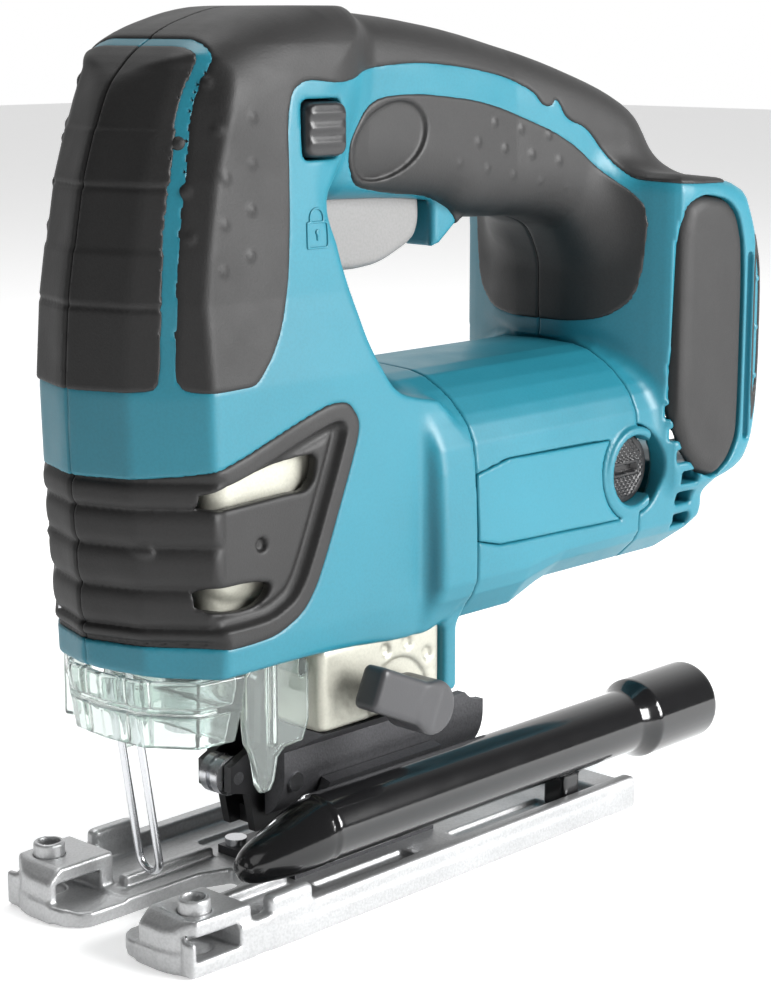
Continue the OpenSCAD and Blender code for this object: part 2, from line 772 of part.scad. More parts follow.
housing_left();
housing_right();
motor_housing();
front_pad_left();
front_pad_right();
grip_left();
grip_right();
handle_inlay_left();
handle_inlay_right();
vent_cover_left();
vent_cover_right();
rear_bumper_left();
rear_bumper_right();
name_plate_left();
name_plate_right();
housing_screws();
terminal_block();
terminal_contacts();
trigger();
switch_body();
switch_plunger();
lock_button();
gear_housing();
gear_foot();
guide_bushes();
slider_rod();
blade_holder();
clamp_sleeve();
crank_gear();
crank_pin();
gear_shaft();
motor_shaft();
pinion();
armature_core();
armature_windings();
commutator();
cooling_fan();
motor_bearings();
motor_yoke();
motor_magnets();
brush_holders();
carbon_brushes();
brush_springs();
brush_caps();
orbit_lever();
orbit_cam();
roller_holder();
blade_roller();
roller_pin();
holder_pin();
stop_pin();
guard_wire();
dust_cover();
tool_opener();
base_plate();
base_inserts();
base_bracket();
bracket_screws();
base_bolt();
dust_nozzle();
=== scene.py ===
import json
import math

import bpy
import numpy as np
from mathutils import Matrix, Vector


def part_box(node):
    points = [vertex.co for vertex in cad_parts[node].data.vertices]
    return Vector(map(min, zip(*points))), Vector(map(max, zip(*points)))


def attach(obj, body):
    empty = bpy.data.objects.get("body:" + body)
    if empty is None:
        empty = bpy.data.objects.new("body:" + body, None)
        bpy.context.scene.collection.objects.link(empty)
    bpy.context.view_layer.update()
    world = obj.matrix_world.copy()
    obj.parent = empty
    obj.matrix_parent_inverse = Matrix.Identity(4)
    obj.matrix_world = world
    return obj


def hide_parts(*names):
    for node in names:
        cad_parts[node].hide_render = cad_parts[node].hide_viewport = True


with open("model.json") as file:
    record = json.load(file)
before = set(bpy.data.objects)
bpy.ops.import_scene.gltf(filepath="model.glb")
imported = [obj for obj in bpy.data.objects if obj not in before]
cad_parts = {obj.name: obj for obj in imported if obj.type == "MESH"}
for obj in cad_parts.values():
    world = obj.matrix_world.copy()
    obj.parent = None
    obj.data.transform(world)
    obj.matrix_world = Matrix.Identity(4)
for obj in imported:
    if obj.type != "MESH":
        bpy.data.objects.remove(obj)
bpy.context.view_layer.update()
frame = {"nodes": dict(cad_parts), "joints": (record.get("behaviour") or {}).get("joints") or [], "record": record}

MM = 0.001
# Grid steps in mm: body-sized mouldings, pads, and small parts
COARSE, MEDIUM, FINE = ((0.75, 0.6, 0.42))


def mm_box(node):
    """The two corners of a CAD node, in mm."""
    low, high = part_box(node)
    return np.array(low) / MM, np.array(high) / MM


def pivot(joint):
    """The pivot of a joint of the CAD model, in mm."""
    return next(np.array(j["pos_m"]) / MM for j in frame["joints"] if j["name"] == joint)


# ---------------------------------------------------------------- distance fields
def smin(a, b, k):
    """Union of two fields, with a fillet of about k mm."""
    h = np.maximum(k - np.abs(a - b), 0) / k
    return np.minimum(a, b) - h * h * k / 4


def smax(a, b, k):
    """Intersection of two fields, with a rounded edge of about k mm."""
    return -smin(-a, -b, k)


def outline(u, v, points):
    """Signed distance to a closed outline; u and v are arrays of one plane's coordinates."""
    nearest = np.full(np.broadcast(u, v).shape, 1e9)
    inside = np.zeros(nearest.shape, bool)
    for (ax, ay), (bx, by) in zip(points, np.roll(points, -1, axis=0)):
        ex, ey = bx - ax, by - ay
        wx, wy = u - ax, v - ay
        t = np.clip((wx * ex + wy * ey) / (ex * ex + ey * ey), 0, 1)
        nearest = np.minimum(nearest, (wx - ex * t) ** 2 + (wy - ey * t) ** 2)
        if ey != 0:
            inside ^= ((ay > v) != (by > v)) & (u < ex * (v - ay) / ey + ax)
    return np.where(inside, -1, 1) * np.sqrt(nearest)


def rounded(points, times=2):
    """An outline with its corners cut off again and again, which makes curves of them."""
    p = np.array(points, float)
    for _ in range(times):
        after = np.roll(p, -1, axis=0)
        p = np.stack([0.8 * p + 0.2 * after, 0.2 * p + 0.8 * after], axis=1).reshape(-1, 2)
    return p


def slab(u, low, high):
    """The space between two planes."""
    return np.maximum(low - u, u - high)


def brick(x, y, z, low, high, k=1.0):
    """A box between two corners, with rounded edges."""
    return smax(smax(slab(x, low[0], high[0]), slab(y, low[1], high[1]), k), slab(z, low[2], high[2]), k)


def plate_2d(u, v, half_u, half_v, k):
    """A rectangle about the origin of one plane, with rounded corners."""
    return smax(np.abs(u) - half_u, np.abs(v) - half_v, k)


def tube(u, v, cu, cv, radius):
    """Distance to a round bar along the third axis."""
    return np.sqrt((u - cu) ** 2 + (v - cv) ** 2) - radius


def ball(x, y, z, centre, radius):
    """A ball."""
    return np.sqrt((x - centre[0]) ** 2 + (y - centre[1]) ** 2 + (z - centre[2]) ** 2) - radius


def stick(x, y, z, a, b, radius):
    """A bar with round ends from a to b."""
    a, b = np.array(a, float), np.array(b, float)
    d = b - a
    t = np.clip(((x - a[0]) * d[0] + (y - a[1]) * d[1] + (z - a[2]) * d[2]) / (d @ d), 0, 1)
    off = (x - a[0] - t * d[0], y - a[1] - t * d[1], z - a[2] - t * d[2])
    return np.sqrt(off[0] ** 2 + off[1] ** 2 + off[2] ** 2) - radius


# ---------------------------------------------------------------- meshes from fields
CORNERS = [(i, j, k) for i in (0, 1) for j in (0, 1) for k in (0, 1)]
EDGES = [(a, b) for a in CORNERS for b in CORNERS
         if a < b and sum(abs(p - q) for p, q in zip(a, b)) == 1]
TETRA = np.array([(1, -1, -1), (-1, -1, 1), (-1, 1, -1), (1, 1, 1)], float)


def nets(field, low, high, step):
    """Vertices and four-sided faces of the surface where the field is zero."""
    low = np.array(low, float) - 1.37 * step
    sizes = np.ceil((np.array(high, float) + 1.37 * step - low) / step).astype(int) + 1
    axes = [low[i] + step * np.arange(sizes[i]) for i in range(3)]
    value = field(axes[0][:, None, None], axes[1][None, :, None], axes[2][None, None, :])
    value = np.array(np.broadcast_to(value, sizes), np.float32)
    inside = value < 0
    near = sum(inside[i:sizes[0] - 1 + i, j:sizes[1] - 1 + j, k:sizes[2] - 1 + k].astype(np.int8)
               for i, j, k in CORNERS)
    mixed = (near > 0) & (near < 8)
    cells = np.argwhere(mixed)
    number = np.full(mixed.shape, -1)
    number[mixed] = np.arange(len(cells))
    total, count = np.zeros((len(cells), 3)), np.zeros(len(cells))
    for a, b in EDGES:
        va, vb = value[tuple((cells + a).T)], value[tuple((cells + b).T)]
        crosses = (va < 0) != (vb < 0)
        t = np.where(crosses, va / np.where(crosses, va - vb, 1), 0)
        total += crosses[:, None] * (np.array(a) + t[:, None] * (np.array(b) - np.array(a)))
        count += crosses
    points = low + step * (cells + total / count[:, None])
    faces = []
    for axis in range(3):
        u, v = (axis + 1) % 3, (axis + 2) % 3
        first = np.take(inside, np.arange(sizes[axis] - 1), axis)
        change = np.argwhere(first != np.take(inside, np.arange(1, sizes[axis]), axis))
        in_u = (change[:, u] > 0) & (change[:, u] < sizes[u] - 1)
        in_v = (change[:, v] > 0) & (change[:, v] < sizes[v] - 1)
        change = change[in_u & in_v]
        ring = []
        for du, dv in ((-1, -1), (0, -1), (0, 0), (-1, 0)):
            at = change.copy()
            at[:, u] += du
            at[:, v] += dv
            ring.append(number[tuple(at.T)])
        quad = np.stack(ring, axis=1)
        starts_inside = first[tuple(change.T)]
        quad[~starts_inside] = quad[~starts_inside][:, ::-1]
        faces.append(quad)
    # two Newton steps put the vertices on the surface itself
    reach = 0.12 * step
    for _ in range(2):
        samples = [field(*(points + reach * d).T) for d in TETRA]
        slope = sum(s[:, None] * d for s, d in zip(samples, TETRA)) / (4 * reach)
        move = -(sum(samples) / 4)[:, None] * slope / np.maximum((slope ** 2).sum(1), 0.2)[:, None]
        points = points + np.clip(move, -0.4 * step, 0.4 * step)
    return points, np.concatenate(faces)


def piece(name, points, faces, body, material, replaced=(), smooth=True):
    """A mesh object from points in mm, riding on a CAD body."""
    mesh = bpy.data.meshes.new(name)
    mesh.from_pydata((np.asarray(points) * MM).tolist(), [], [list(map(int, f)) for f in faces])
    mesh.polygons.foreach_set("use_smooth", [smooth] * len(mesh.polygons))
    mesh.materials.append(material)
    mesh.update()
    obj = bpy.data.objects.new(name, mesh)
    bpy.context.scene.collection.objects.link(obj)
    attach(obj, body)
    if replaced:
        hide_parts(*replaced)
    return obj


def shaped(name, field, low, high, step, body, material, replaced=()):
    """A piece from a field, inside the box from low to high."""
    points, faces = nets(field, low, high, step)
    return piece(name, points, faces, body, material, replaced)


def shaped_pair(name, field, low, high, step, body, material, nodes):
    """A piece on the left side, and its mirror image on the right.

    nodes is what the names of both CAD nodes start with."""
    points, faces = nets(field, low, high, step)
    piece(name + "_l", points, faces, body, material, [nodes + "_left"])
    piece(name + "_r", points * (1, -1, 1), faces[:, ::-1], body, material, [nodes + "_right"])


# ---------------------------------------------------------------- materials
def material(name, color, roughness, metallic=0.0, spread=0.12, grain=900.0, bump=0.06, coat=0.0,
             clear=0.0, brushed=False, speckle=0.0):
    """A finish with cloudy colour, uneven gloss and a fine surface texture.

    spread is how far the colour varies, and speckle how dark its fine dots are."""
    m = bpy.data.materials.new(name)
    m.use_nodes = True
    nodes, links = m.node_tree.nodes, m.node_tree.links
    shader = nodes["Principled BSDF"]
    shader.inputs["Metallic"].default_value = metallic
    shader.inputs["Coat Weight"].default_value = coat
    shader.inputs["Coat Roughness"].default_value = 0.12
    shader.inputs["Transmission Weight"].default_value = clear
    shader.inputs["IOR"].default_value = 1.47
    place = nodes.new("ShaderNodeTexCoord")

    def noise(scale, detail, stretch=(1, 1, 1)):
        fit = nodes.new("ShaderNodeMapping")
        fit.inputs["Scale"].default_value = stretch
        n = nodes.new("ShaderNodeTexNoise")
        n.inputs["Scale"].default_value = scale
        n.inputs["Detail"].default_value = detail
        links.new(place.outputs["Object"], fit.inputs["Vector"])
        links.new(fit.outputs["Vector"], n.inputs["Vector"])
        return n.outputs["Fac"]

    def ramp(source, low, high, a, b):
        r = nodes.new("ShaderNodeValToRGB")
        r.color_ramp.elements[0].position, r.color_ramp.elements[1].position = low, high
        r.color_ramp.elements[0].color, r.color_ramp.elements[1].color = a, b
        links.new(source, r.inputs["Fac"])
        return r.outputs["Color"]

    stretch = (1, 12, 1) if brushed else (1, 1, 1)
    dark = tuple(c * (1 - spread) for c in color) + (1,)
    light = tuple(min(1, c * (1 + spread)) for c in color) + (1,)
    tint = ramp(noise(22, 4), 0.3, 0.7, dark, light)
    if speckle:
        mix = nodes.new("ShaderNodeMix")
        mix.data_type = "RGBA"
        mix.blend_type = "MULTIPLY"
        mix.inputs["Factor"].default_value = 1.0
        links.new(tint, mix.inputs["A"])
        links.new(ramp(noise(1600, 2), 0.35, 0.6, (1 - speckle,) * 3 + (1,), (1, 1, 1, 1)), mix.inputs["B"])
        tint = mix.outputs["Result"]
    links.new(tint, shader.inputs["Base Color"])
    wide = min(0.12, 0.5 * roughness)
    gloss = nodes.new("ShaderNodeMapRange")
    gloss.inputs["To Min"].default_value = max(0.02, roughness - wide)
    gloss.inputs["To Max"].default_value = min(1, roughness + wide)
    links.new(noise(90, 5, stretch), gloss.inputs["Value"])
    links.new(gloss.outputs["Result"], shader.inputs["Roughness"])
    relief = nodes.new("ShaderNodeBump")
    relief.inputs["Strength"].default_value = bump * 5
    relief.inputs["Distance"].default_value = 0.0001
    links.new(noise(grain, 3, stretch), relief.inputs["Height"])
    links.new(relief.outputs["Normal"], shader.inputs["Normal"])
    return m


TEAL = material("teal_moulding", (0.015, 0.168, 0.228), 0.4, spread=0.07, grain=2600, bump=0.03, speckle=0.06)
TEAL_PLATE = material("teal_plate", (0.015, 0.174, 0.236), 0.34,
                      spread=0.05, grain=2600, bump=0.02, speckle=0.05)
RUBBER = material("black_rubber", (0.011, 0.0106, 0.0106), 0.55,
                  spread=0.16, grain=2200, bump=0.09, speckle=0.2)
# Handle inlay: the same black rubber as the grip, made a little lighter as painted light where the inlay catches
# the lamp
RUBBER_PAINTED_LIGHTER = material("grey_rubber", (0.0145, 0.014, 0.014), 0.53,
                       spread=0.12, grain=2200, bump=0.08, speckle=0.18)
BLACK = material("black_plastic", (0.012, 0.012, 0.013), 0.34, spread=0.2, grain=1800, bump=0.04)
GLOSS = material("gloss_black", (0.006, 0.006, 0.0065), 0.14, spread=0.2, grain=700, bump=0.015, coat=0.6)
TRIGGER = material("trigger_plastic", (0.20, 0.197, 0.194), 0.42,
                   spread=0.06, grain=1900, bump=0.05, speckle=0.1)
LEVER = material("lever_plastic", (0.05, 0.05, 0.053), 0.4, spread=0.15, grain=1700, bump=0.05)
RED = material("red_plastic", (0.5, 0.05, 0.03), 0.4, spread=0.1)
ALUMINIUM = material("cast_aluminium", (0.50, 0.505, 0.51), 0.42, metallic=0.75,
                     spread=0.08, grain=1900, bump=0.14, speckle=0.12)
CREAM = material("cream_casting", (0.47, 0.465, 0.40), 0.4, metallic=0.45,
                 spread=0.08, grain=1300, bump=0.08, speckle=0.08)
DARK_CAST = material("dark_casting", (0.075, 0.075, 0.08), 0.46, metallic=0.5,
                     spread=0.15, grain=1700, bump=0.14, speckle=0.2)
STEEL = material("ground_steel", (0.62, 0.63, 0.65), 0.24, metallic=1.0,
                 spread=0.06, grain=500, bump=0.03, brushed=True)
DARK_STEEL = material("dark_steel", (0.2, 0.2, 0.21), 0.38, metallic=0.9, spread=0.12, grain=900, bump=0.06)
BRASS = material("brass", (0.72, 0.5, 0.2), 0.3, metallic=1.0, spread=0.1, grain=700, bump=0.04)
COPPER = material("copper_wire", (0.66, 0.28, 0.12), 0.36, metallic=0.9,
                  spread=0.15, grain=1500, bump=0.12, brushed=True)
CARBON = material("carbon", (0.03, 0.03, 0.03), 0.6, spread=0.2)
CLEAR = material("clear_plastic", (0.80, 0.885, 0.85), 0.05, spread=0.03, grain=160, bump=0.03, clear=0.92)
FOR_SLOT = {
    "teal_plastic": TEAL, "plate_teal": TEAL_PLATE, "black_rubber": RUBBER, "grey_rubber": RUBBER_PAINTED_LIGHTER,
    "steel": STEEL, "dark_steel": DARK_STEEL, "clamp_steel": STEEL, "black_plastic": BLACK,
    "red_plastic": RED,
    "grey_plastic": TRIGGER, "dark_grey_plastic": LEVER, "brass": BRASS, "copper": COPPER, "carbon": CARBON,
    "magnet": DARK_CAST, "cream_cast": CREAM, "dark_cast": DARK_CAST, "cast_aluminium": ALUMINIUM,
    "clear_plastic": CLEAR, "gloss_black": GLOSS,
}
slot_of = {s["node"]: s["material_slot"] for s in frame["record"]["subparts"]}
for node, obj in frame["nodes"].items():
    obj.data.materials.clear()
    obj.data.materials.append(FOR_SLOT[slot_of[node]])

# ---------------------------------------------------------------- outer form of the housing, in mm
HEAD = rounded([(-30, 61), (16, 61.5), (46, 58.7), (56, 64), (56, 112), (41, 115), (36, 118), (30, 127),
                (25.5, 139), (22.5, 147), (19.8, 158), (25.5, 165), (28.5, 172), (34, 182), (36, 198.8),
                (20, 200), (8, 198.9), (-4, 195.4), (-13, 190.4), (-20, 183.6), (-24, 175), (-27.4, 165),
                (-30.4, 150), (-32, 140), (-33.2, 121), (-32.8, 104), (-30.6, 68)])
HANDLE = rounded([(18, 158), (66, 156.2), (75, 151.9), (84, 151), (94, 150.6), (105, 150), (113, 147.5),
                  (120, 142), (131, 142), (150, 157.5), (144, 168), (138, 175.6), (125, 181.4),
                  (103, 188.2), (75, 194.4), (50, 197.8), (18, 199.6)])
LIP = [(68.8, 144.9), (71.5, 145.6), (79, 151.4), (79, 158), (68.8, 158)]
MOUNT = rounded([(121, 100), (123, 90), (130, 81), (142, 79.5), (160, 83), (165, 90), (167, 102), (167, 134),
                 (163.5, 146), (158, 157), (130, 160), (117.6, 160), (117.8, 119), (121, 118)])
MOTOR = rounded([(0, 58.5), (24, 58.5), (32.6, 69), (32.8, 78), (31.6, 101), (28.6, 107.5), (22.5, 113),
                 (14, 117.2), (0, 118), (-24, 118), (-24, 58.5)], 1)
# The nose line on the mid-plane, bottom to top
SEAM_Z = [60, 68, 104, 121, 140, 150, 165, 174, 180, 187]
SEAM_X = [-30, -30.3, -32.8, -33.3, -32, -30.4, -27.3, -24.2, -22, -19]
# Depth of the recesses for the soft skins, and thickness of the shell
SKIN, WALL = 2.2, 4.4
MOTOR_ENDS = (mm_box("motor_housing")[0][0] + 0.1, 119.8)
# Plan of the flare from the narrow rear post to the wide battery mount
FLARE = rounded([(117.6, -30), (117.6, 6), (119, 10.5), (129, 32), (133, 36), (220, 36), (220, -30)])


def head_form(x, y, z):
    """The front part, with two facets on each side of its nose."""
    side = np.abs(y)
    lean = x - np.interp(z, SEAM_Z, SEAM_X) - 33.4
    inner_facet = (-14.1 * (lean + 33.5) + 4.6 * side) / 14.83
    outer_facet = (-13.9 * (lean + 28.9) + 11.5 * (side - 14.1)) / 18.04
    width = np.interp(z, [60, 68, 122, 140, 170, 192, 200], [27.3, 28, 28, 26.3, 25.5, 24.5, 23])
    edge = np.interp(z, [120, 150, 180], [1.6, 3, 15]) + 0 * x
    form = smax(outline(x, z, HEAD), side - width, edge)
    return smax(form, smax(inner_facet, outer_facet, 0.5), 1.2)


def motor_form(x, y, z):
    """The motor section and what carries it on below the battery mount."""
    lift = np.interp(x, [78, 91], [0, 4.6]) * np.clip((78 - z) / 14, 0, 1)
    form = smax(outline(np.abs(y), z - lift, MOTOR), slab(x, 47, 147), 3)
    return smax(form, (8 * (x - 136) - 9 * (z - 63)) / 12.04, 3)


def body_form(x, y, z):
    """The whole outer form, as one field."""
    side = np.abs(y)
    form = smin(head_form(x, y, z), smax(outline(x, z, HANDLE), side - handle_width(x, z), 13), 7)
    form = smin(form, smax(outline(x, z, MOUNT), outline(x, side, FLARE), 5), 8)
    form = smin(form, smax(outline(x, z, LIP), side - 9.6, 1.6), 1.2)
    return smin(form, motor_form(x, y, z), 3.5)


def handle_width(x, z):
    """Half the width of the handle."""
    return np.interp(x, [18, 40, 90, 130], [19, 17.2, 16.6, 19]) + 0 * z


# Where the soft skins lie, seen from the side
FRONT_ZONE = rounded([(-45, 122), (-25.6, 122.4), (-24.3, 124.4), (-23.6, 135), (-22.7, 145),
                      (-21.2, 155), (-19.3, 165), (-15.3, 180), (-11.6, 187), (-10.4, 191), (-12, 198),
                      (-45, 212)])
GRIP_ZONE = rounded([(-22.3, 126), (-21.4, 122.8), (-18, 122.2), (-9, 122.4), (-5, 122.6), (0, 128),
                     (3.4, 134), (6, 143), (7, 160), (7, 176), (8.6, 182.4), (13, 184.6), (22, 183.6),
                     (28.8, 184.2), (40, 186.5), (56, 187.4), (72, 186), (86.7, 183.6), (96, 180),
                     (99, 176.6), (102, 176.4), (104, 178.4), (107, 173.4), (115, 170.8), (124, 161),
                     (127, 157.4), (160, 156.6), (160, 215), (-8, 215), (-8, 192), (-10, 187),
                     (-13.9, 180), (-17.5, 165), (-19.4, 155), (-20.9, 145), (-21.6, 135)])
INLAY_ZONE = rounded([(32, 171), (32.5, 166), (36.7, 160.8), (50, 158.4), (66, 157), (75.2, 152.6),
                      (79, 146), (112, 141), (112, 121.5), (117, 121.8), (123, 124), (126.4, 130),
                      (127.6, 151), (124.5, 157), (108.4, 169), (80.4, 178.3), (54, 181), (40, 180)])
VENT_ZONE = rounded([(-50, 68.4), (-10, 67.4), (0, 68), (8, 71.6), (13, 78), (25, 107), (25.6, 112),
                     (22, 116.6), (15, 116.8), (-19, 105), (-50, 104.4)])
BUMPER_ZONE = rounded([(129.6, 100), (134, 90), (140, 84), (148, 81.5), (154, 86), (157.6, 92),
                       (158, 102), (158, 140), (155, 149.4), (150, 153.6), (140, 155.4), (133, 153),
                       (130.6, 146), (130.2, 128)])
RIM_ZONE = rounded([(161.2, 93), (163.5, 97), (165.6, 106), (165.6, 136), (163.4, 143), (161.2, 145)], 1)
STRIP_ZONE = rounded([(162.2, 100), (163.4, 104), (164.4, 110), (164.4, 133), (163, 138), (162.2, 139)], 1)
PLATE = rounded([(49, 78.4), (140, 75.8), (140, 96), (54, 97.6)], 1)
TEAL_SKINS = (FRONT_ZONE, GRIP_ZONE, INLAY_ZONE, VENT_ZONE, BUMPER_ZONE, RIM_ZONE)
UPPER_VENT = rounded([(-19, 97.2), (-19, 102), (7, 105.8), (13.4, 105.8), (12.8, 100.6), (10, 98),
                      (5, 98.2)], 1)
LOWER_VENT = rounded([(-19, 76.4), (-19, 81), (-6, 80.9), (-0.2, 79.8), (-1.5, 77.2), (-5, 75.2),
                      (-10, 75)], 1)


def vents(x, z):
    """The two openings in each vent cover."""
    return np.minimum(outline(x, z, UPPER_VENT), outline(x, z, LOWER_VENT))


lock_low, lock_high = mm_box("lock_button")
trigger_low, trigger_high = mm_box("trigger")
cap_low, cap_high = mm_box("brush_caps")
CAP_X, CAP_Z = (cap_low[0] + cap_high[0]) / 2, (cap_low[2] + cap_high[2]) / 2
gear_low, gear_high = mm_box("gear_housing")
opener_low, opener_high = mm_box("tool_opener")
cover_low, cover_high = mm_box("dust_cover")


# Rear vents: where each slot starts, the underside of the lowest one, and the distance between them
REAR_VENT_STARTS = (134, 134.6, 134.2, 132.2, 130.4, 129.6)
REAR_VENT_Z, REAR_VENT_PITCH = 70.9, 5.68


def openings(x, y, z):
    """What is cut out of both half shells."""
    side = np.abs(y)
    cut = brick(x, side, z, (lock_low[0] - 0.5, 8, lock_low[2] - 0.5),
                (lock_high[0] + 0.5, 60, lock_high[2] + 0.5), 2.4)
    trigger_slot = smax(side - 8, slab(z, 130, 162), 1)
    cut = np.minimum(cut, smax(slab(x, trigger_low[0] - 1.5, trigger_high[0] + 2), trigger_slot, 1))
    # the bottom for the gear housing, the inside of the battery mount and the groove in its side
    cut = np.minimum(cut, brick(x, side, z, (-13, -30, 50), (gear_high[0] - 0.1, 24.2, 65.2), 1))
    cut = np.minimum(cut, brick(x, side, z, (152, -31, 86), (162, 31, 175), 1.5))
    cut = np.minimum(cut, brick(x, side, z, (161, -27, 86), (175, 27, 175), 1.5))
    cut = np.minimum(cut, brick(x, side, z, (158.7, 34.2, 91), (161, 60, 139), 1))
    cut = np.minimum(cut, smax(tube(x, z, CAP_X, CAP_Z, 11.4), 18 - side, 0.5))
    for i, start in enumerate(REAR_VENT_STARTS):
        low = REAR_VENT_Z + REAR_VENT_PITCH * i
        slot = smax(slab(x, start, 141), slab(z, low, low + 3.4), 0.8)
        cut = np.minimum(cut, smax(slot, 26 - side, 0.4))
    return np.minimum(cut, smax(slab(x, *MOTOR_ENDS), z - 118.3, 0.3))


def shell_field(x, y, z):
    """The left half shell."""
    outer = body_form(x, y, z)
    side = np.abs(y)
    pads = np.minimum.reduce([outline(x, z, zone) for zone in TEAL_SKINS])
    # the recesses are a little smaller than the skins, whose edges lie on the shell
    form = smax(outer, -smax(pads + 0.6, -(outer + SKIN), 0.3), 0.4)
    form = smax(form, -smax(outline(x, z, VENT_ZONE) + 0.7, 8 - side, 0.3), 0.4)
    form = smax(form, -(outer + WALL), 0.4)
    form = smax(form, -openings(x, y, z), 0.5)
    # skirt behind the gear housing
    skirt = brick(x, y, z, (54.3, -27, 43.6), (58.8, 24, 66), 1.6)
    form = smin(form, skirt, 2.5)
    # room for the side cover to rise
    form = smax(form, -brick(x, y, z, (-7, -24.4, 40), (14.3, 30, 70.5), 0.5), 0.3)
    return smax(form, y + 0.06, 0.25)


def left_half(x, y, z):
    """Keeps a pad on the left half of the tool and below the top of the CAD box."""
    return np.maximum(y + 0.08, z - 199.8)


def pad_field(zone, proud, soft=0.8):
    """Field of a soft skin that fills a zone and stands proud of the shell."""
    def field(x, y, z):
        outer = body_form(x, y, z)
        form = smax(outer - proud, outline(x, z, zone), soft)
        form = smax(form, -(outer + SKIN - 0.1), 0.4)
        return smax(form, left_half(x, y, z), 0.4)
    return field


# How far the front pad's segments stand out, at which heights
STEP_Z = [118, 150.3, 151.1, 174.6, 175.4, 205]
STEP_UP = [0.9, 0.35, -0.15, 0.35, -0.15, 0.2]


def front_pad_field(x, y, z):
    """Three segments that overlap like scales, the lowest one standing proudest."""
    outer = body_form(x, y, z)
    stands = np.interp(z, STEP_Z, STEP_UP)
    groove = np.minimum(np.abs(z - 163.5), np.abs(z - 139.5))
    surface = outer - 0.25 - stands * 0.55 + 0.4 * np.clip(1 - groove / 0.9, 0, 1)
    surface = surface + 0.5 * np.clip(1 - np.abs(y) / 0.7, 0, 1)
    form = smax(surface, outline(x, z, FRONT_ZONE), 0.8)
    form = smax(form, -(outer + SKIN - 0.1), 0.3)
    return smax(form, left_half(x, y, z), 0.3)


DOT_PITCH = 9.3
GRIP_DOTS = ([(-9.8 - 0.7 * k, 184 - DOT_PITCH * k) for k in range(5)]
             + [(-15.6 - 0.5 * k, 181.4 - DOT_PITCH * k) for k in range(1, 4)]
             + [(-3.2 - 0.6 * k, 177.3 - DOT_PITCH * k) for k in range(4)])
# First dot of each row on the handle, and how many dots the row has
DOT_ROWS = [((81.8, 173.4), 3), ((76, 169.1), 4), ((69.9, 164.7), 5), ((63.2, 160.8), 6)]
HANDLE_DOTS = [(u + 9.6 * i, v - 1.8 * i) for (u, v), count in DOT_ROWS for i in range(count)]


def below_surface(u, v, depth):
    """y of the point that lies depth under the left side, at a spot of the side view."""
    way = np.linspace(-40, -4, 361)
    return way[np.argmax(body_form(np.full(361, u), way, np.full(361, v)) < -depth)]


def knobs(x, y, z, spots, radius):
    """Low round knobs that stand on the surface at the given spots."""
    return np.minimum.reduce([ball(x, y, z, (u, v_y, v), radius) for u, v_y, v in spots])


GRIP_KNOBS = [(u, below_surface(u, v, 1.2), v) for u, v in GRIP_DOTS]
HANDLE_KNOBS = [(u, below_surface(u, v, 0.9), v) for u, v in HANDLE_DOTS]


def grip_field(x, y, z):
    """Rubber skin of the front grip, the top of the handle and the rear post."""
    return smin(pad_field(GRIP_ZONE, 0.3)(x, y, z), knobs(x, y, z, GRIP_KNOBS, 1.9), 0.5)


def inlay_field(x, y, z):
    """Skin round the handle opening, with a thumb rest and knobs."""
    outer = body_form(x, y, z)
    form = pad_field(INLAY_ZONE, 0.3)(x, y, z)
    thumb = np.sqrt(((x - 46.3) / 12.0) ** 2 + ((z - 170.5 - 0.2 * (x - 46.3)) / 8.4) ** 2) * 9 - 9
    form = smax(form, -smax(thumb, -(outer + 0.7), 1.0), 0.5)
    return smin(form, knobs(x, y, z, HANDLE_KNOBS, 1.6), 0.4)


# Heights of the valleys between the ribs of the vent cover
RIB_Z = [60, 69.4, 72.2, 80.8, 89.8, 97.9, 103.7, 112]


def vent_cover_field(x, y, z):
    """Cover of the nose, with ribs and two slanted openings on each side."""
    outer = body_form(x, y, z)
    zone = outline(x, z, VENT_ZONE)
    # a raised frame round a recessed panel, and bulging ribs round the nose
    panel = np.interp(zone, [-8.2, -6.6, -5.2, -4.2], [1.1, 2.0, 1.2, -0.4])
    ribs = -0.35 + 1.1 * np.abs(2 * (np.interp(z, RIB_Z, np.arange(8.0)) % 1.0) - 1) ** 3
    at_nose = np.clip((-13.5 - x) / 3.5, 0, 1)
    surface = outer + panel * (1 - at_nose) + ribs * at_nose + 0.4 * np.clip(1 - np.abs(y) / 0.7, 0, 1)
    # a mould mark and a small bump between the vents
    surface = surface + 1.2 * np.clip(1 - (tube(x, z, -3.2, 88.5, 1.2)) / 0.5, 0, 1)
    surface = surface - 0.8 * np.clip(-tube(x, z, -26, 89.3, 1.8) / 1.2, 0, 1)
    form = smax(surface, zone, 1.6)
    form = smax(form, -smax(vents(x, z), 8 - np.abs(y), 0.5), 0.9)
    form = smax(form, -(outer + 4.0), 0.4)
    return smax(form, left_half(x, y, z), 0.3)


def bumper_field(x, y, z):
    """Bead beside the battery mount, and the rim that holds the strip."""
    outer = body_form(x, y, z)
    bead = smax(outer - 0.3, outline(x, z, BUMPER_ZONE), 5)
    rim = smax(outer - 0.1, outline(x, z, RIM_ZONE), 0.8)
    rim = smax(rim, -smax(outline(x, z, STRIP_ZONE), -(outer + 0.6), 0.3), 0.4)
    form = smax(np.minimum(bead, rim), -(outer + SKIN - 0.1), 0.4)
    return smax(form, left_half(x, y, z), 0.4)


def strip_field(x, y, z):
    """Teal strip with three studs, set in the rubber rim beside the battery rails."""
    outer = body_form(x, y, z)
    form = smax(smax(outer + 0.25, outline(x, z, STRIP_ZONE) + 0.15, 0.2), -(outer + 1.3), 0.2)
    studs = np.minimum.reduce([tube(x, z, 163.3, v, 0.75) for v in (107, 119.5, 132)])
    return smin(form, smax(smax(studs, outer - 0.1, 0.4), -(outer + 1), 0.1), 0.2)


